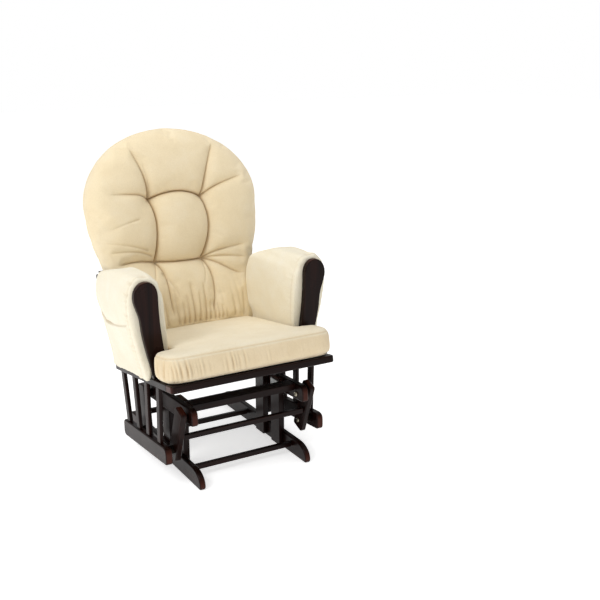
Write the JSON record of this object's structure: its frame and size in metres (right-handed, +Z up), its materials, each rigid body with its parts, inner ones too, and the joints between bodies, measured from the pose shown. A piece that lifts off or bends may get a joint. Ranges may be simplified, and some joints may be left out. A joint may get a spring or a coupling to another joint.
{
  "type": "glider chair",
  "caption": "Padded glider chair: tufted rounded back, padded arms and box seat cushion on a dark wooden frame that hangs from swing arms on a low wooden base.",
  "frame": {"origin": "middle of the chair's bounding box, on the floor", "axes": "+Z up, the front of the chair faces -Y, +X to the right of someone looking at its front"},
  "size_m": [0.672, 0.7316, 1.0118],
  "materials": {
    "dark_wood": "espresso stain under satin lacquer",
    "cream_fabric": "soft brushed woven cloth, cream",
    "bolt_metal": "plated bolt heads, slightly dull",
    "plate_steel": "dark plated steel"
  },
  "bodies": {
    "base": {"floor_rail_left": "dark_wood", "beam_left": "dark_wood", "post_front_left": "dark_wood", "post_rear_left": "dark_wood", "post_plate_left": "plate_steel", "floor_rail_right": "dark_wood", "beam_right": "dark_wood", "post_front_right": "dark_wood", "post_rear_right": "dark_wood", "post_plate_right": "plate_steel", "cross_board_front": "dark_wood", "cross_board_rear": "dark_wood", "floor_stretcher_front": "dark_wood", "floor_stretcher_rear": "dark_wood", "pivot_upper_front_left": "bolt_metal", "pivot_upper_front_right": "bolt_metal", "pivot_upper_rear_left": "bolt_metal", "pivot_upper_rear_right": "bolt_metal"},
    "front_arms": {"swing_arm_front_left": "dark_wood", "swing_arm_front_right": "dark_wood", "swing_bar_front": "dark_wood"},
    "seat_unit": {"seat_front_rail": "dark_wood", "seat_side_rail_left": "dark_wood", "seat_side_rail_right": "dark_wood", "seat_rear_rail": "dark_wood", "seat_slat_1": "dark_wood", "seat_slat_2": "dark_wood", "seat_slat_3": "dark_wood", "seat_cushion": "cream_fabric", "back_stile_left": "dark_wood", "back_stile_right": "dark_wood", "back_crest": "dark_wood", "back_lower_rail": "dark_wood", "back_slat_1": "dark_wood", "back_slat_2": "dark_wood", "back_slat_3": "dark_wood", "back_cushion": "cream_fabric", "pivot_lower_front_left": "bolt_metal", "pivot_lower_front_right": "bolt_metal", "pivot_lower_rear_left": "bolt_metal", "pivot_lower_rear_right": "bolt_metal", "lower_rail_left": "dark_wood", "side_slat_1_left": "dark_wood", "side_slat_2_left": "dark_wood", "side_slat_3_left": "dark_wood", "side_slat_4_left": "dark_wood", "lower_rail_right": "dark_wood", "side_slat_1_right": "dark_wood", "side_slat_2_right": "dark_wood", "side_slat_3_right": "dark_wood", "side_slat_4_right": "dark_wood", "arm_front_left": "dark_wood", "arm_rail_left": "dark_wood", "arm_front_right": "dark_wood", "arm_rail_right": "dark_wood", "arm_pad_left": "cream_fabric", "arm_pad_right": "cream_fabric"},
    "rear_arms": {"swing_arm_rear_left": "dark_wood", "swing_arm_rear_right": "dark_wood", "swing_bar_rear": "dark_wood"}
  },
  "joints": [
    {"name": "glide", "type": "hinge", "parent": "base", "child": "rear_arms", "pos_m": [0, -0.0009, 0.197], "axis": [1, 0, 0], "range_deg": [-17, 7], "stiffness_Nm_per_rad": 12, "springref_deg": -42.63},
    {"name": "seat_rock", "type": "hinge", "parent": "rear_arms", "child": "seat_unit", "pos_m": [0, -0.0163, 0.08001], "axis": [1, 0, 0], "range_deg": [-9, 21.5]},
    {"name": "front_swing", "type": "hinge", "parent": "base", "child": "front_arms", "pos_m": [0, -0.2879, 0.213], "axis": [1, 0, 0], "range_deg": [-18, 7.5]}
  ],
  "couplings": [
    {"joint": "seat_rock", "follows": "glide", "ratio": -1.242},
    {"joint": "front_swing", "follows": "glide", "ratio": 1.048}
  ]
}
